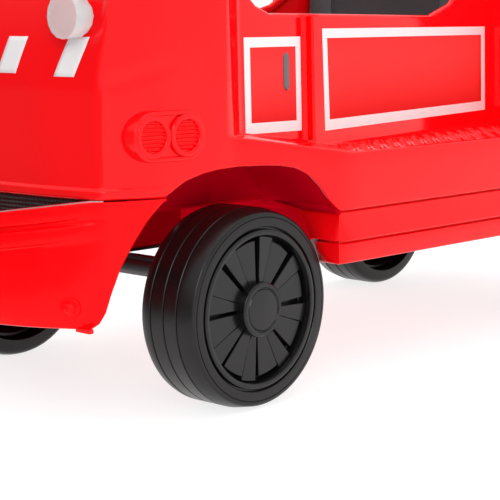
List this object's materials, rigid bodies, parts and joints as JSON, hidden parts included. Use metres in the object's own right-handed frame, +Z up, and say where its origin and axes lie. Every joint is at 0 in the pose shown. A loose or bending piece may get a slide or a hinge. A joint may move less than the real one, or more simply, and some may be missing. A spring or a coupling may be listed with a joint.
{
  "type": "ride-on toy fire engine",
  "caption": "Child's ride-in toy fire engine: hollow moulded body, steered front wheels, driven rear wheels, flip-up seat and a ladder on the rear box.",
  "frame": {"origin": "centre of the bounding box's underside, on the ground plane between the wheels", "axes": "+Z up; the front of the vehicle faces -Y; +X is the driver's left"},
  "size_m": [0.49, 1.14, 0.62],
  "materials": {
    "red_plastic": "glossy",
    "black_plastic": "satin",
    "black_mesh": "satin",
    "seat_plastic": "matte",
    "tyre_plastic": "satin",
    "black_steel": "satin",
    "zinc_steel": "satin",
    "silver_plastic": "satin",
    "clear_plastic": "clear",
    "blue_lens": "glossy",
    "red_lens": "glossy",
    "clear_lens": "glossy"
  },
  "bodies": {
    "chassis": {"cab_shell": "red_plastic", "side_vent_left": "red_plastic", "side_vent_right": "red_plastic", "front_bumper": "red_plastic", "grille_mesh": "black_mesh", "running_board_left": "red_plastic", "running_board_right": "red_plastic", "side_wall_left": "red_plastic", "side_wall_right": "red_plastic", "step_tread_left": "red_plastic", "step_tread_right": "red_plastic", "floor_pan": "red_plastic", "rear_box": "red_plastic", "rear_bumper": "black_plastic", "tail_light_left": "red_lens", "tail_light_right": "red_lens", "seat_box": "red_plastic", "battery": "black_plastic", "dashboard": "black_plastic", "windscreen_frame": "black_plastic", "windscreen_pane": "clear_plastic", "light_bar_base": "silver_plastic", "beacon_left": "blue_lens", "beacon_right": "blue_lens", "headlight_left": "clear_lens", "headlight_right": "clear_lens", "mirror_left": "black_plastic", "mirror_right": "black_plastic", "front_axle_beam": "black_steel", "rear_axle": "zinc_steel", "gearbox_left": "black_plastic", "gearbox_right": "black_plastic", "motor_left": "zinc_steel", "motor_right": "zinc_steel", "ladder_mount": "silver_plastic"},
    "steering": {"steering_wheel": "black_plastic", "steering_shaft": "zinc_steel"},
    "horn": {"horn_button": "red_lens"},
    "steered_hub_left": {"steering_knuckle_left": "black_steel"},
    "steered_hub_right": {"steering_knuckle_right": "black_steel"},
    "track_rod": {"tie_rod": "black_steel"},
    "front_wheel_left": {"front_tyre_left": "tyre_plastic", "front_rim_left": "black_plastic", "front_hub_cap_left": "black_plastic"},
    "front_wheel_right": {"front_tyre_right": "tyre_plastic", "front_rim_right": "black_plastic", "front_hub_cap_right": "black_plastic"},
    "rear_wheel_left": {"rear_tyre_left": "tyre_plastic", "rear_rim_left": "black_plastic", "rear_hub_cap_left": "black_plastic"},
    "rear_wheel_right": {"rear_tyre_right": "tyre_plastic", "rear_rim_right": "black_plastic", "rear_hub_cap_right": "black_plastic"},
    "seat_flap": {"seat": "seat_plastic"},
    "pedal": {"accelerator_pedal": "black_plastic"},
    "lever": {"gear_lever": "black_plastic"},
    "starter": {"start_button": "red_lens"},
    "hatch": {"rear_hatch": "red_plastic"},
    "ladder_base": {"ladder": "silver_plastic"},
    "ladder_slider": {"ladder_extension": "silver_plastic"}
  },
  "joints": [
    {"name": "steering_turn", "type": "hinge", "parent": "chassis", "child": "steering", "pos_m": [0, -0.4273, 0.158], "axis": [0, 0.4226, 0.9063], "range_deg": [-36, 36]},
    {"name": "horn_press", "type": "slide", "parent": "steering", "child": "horn", "axis": [0, -0.4226, -0.9063], "range_m": [0, 0.003], "stiffness_N_per_m": 400, "springref_m": -0.002},
    {"name": "steer_left", "type": "hinge", "parent": "chassis", "child": "steered_hub_left", "pos_m": [0.122, -0.332, 0.102], "axis": [0, 0, 1], "range_deg": [-18.5, 18.5]},
    {"name": "steer_right", "type": "hinge", "parent": "chassis", "child": "steered_hub_right", "pos_m": [-0.122, -0.332, 0.102], "axis": [0, 0, 1], "range_deg": [-18.5, 18.5]},
    {"name": "track_rod_slide", "type": "slide", "parent": "chassis", "child": "track_rod", "axis": [1, 0, 0], "range_m": [-0.0137, 0.0137]},
    {"name": "front_left_roll", "type": "hinge", "parent": "steered_hub_left", "child": "front_wheel_left", "pos_m": [0.185, -0.332, 0.102], "axis": [1, 0, 0], "continuous": true},
    {"name": "front_right_roll", "type": "hinge", "parent": "steered_hub_right", "child": "front_wheel_right", "pos_m": [-0.185, -0.332, 0.102], "axis": [1, 0, 0], "continuous": true},
    {"name": "rear_left_roll", "type": "hinge", "parent": "chassis", "child": "rear_wheel_left", "pos_m": [0.185, 0.358, 0.102], "axis": [1, 0, 0], "continuous": true},
    {"name": "rear_right_roll", "type": "hinge", "parent": "chassis", "child": "rear_wheel_right", "pos_m": [-0.185, 0.358, 0.102], "axis": [1, 0, 0], "continuous": true},
    {"name": "seat_lift", "type": "hinge", "parent": "chassis", "child": "seat_flap", "pos_m": [0, 0.034, 0.294], "axis": [1, 0, 0], "range_deg": [0, 55]},
    {"name": "pedal_press", "type": "hinge", "parent": "chassis", "child": "pedal", "pos_m": [0.078, -0.185, 0.1945], "axis": [1, 0, 0], "range_deg": [0, 14], "stiffness_Nm_per_rad": 1.5, "springref_deg": -8.59},
    {"name": "gear_shift", "type": "hinge", "parent": "chassis", "child": "lever", "pos_m": [0.072, -0.3375, 0.372], "axis": [1, 0, 0], "range_deg": [-18, 18]},
    {"name": "start_press", "type": "slide", "parent": "chassis", "child": "starter", "axis": [0, -1, 0], "range_m": [0, 0.004], "stiffness_N_per_m": 300, "springref_m": -0.002},
    {"name": "hatch_hinge", "type": "hinge", "parent": "chassis", "child": "hatch", "pos_m": [0, 0.5515, 0.28], "axis": [1, 0, 0], "range_deg": [-90, 0]},
    {"name": "ladder_raise", "type": "hinge", "parent": "chassis", "child": "ladder_base", "pos_m": [0, 0.532, 0.492], "axis": [1, 0, 0], "range_deg": [-60, 0]},
    {"name": "ladder_extend", "type": "slide", "parent": "ladder_base", "child": "ladder_slider", "axis": [0, -1, 0], "range_m": [0, 0.1]}
  ],
  "couplings": [
    {"joint": "steer_left", "follows": "steering_turn", "ratio": 0.5},
    {"joint": "steer_right", "follows": "steering_turn", "ratio": 0.5},
    {"joint": "track_rod_slide", "follows": "steering_turn", "m_per_rad": 0.021}
  ]
}
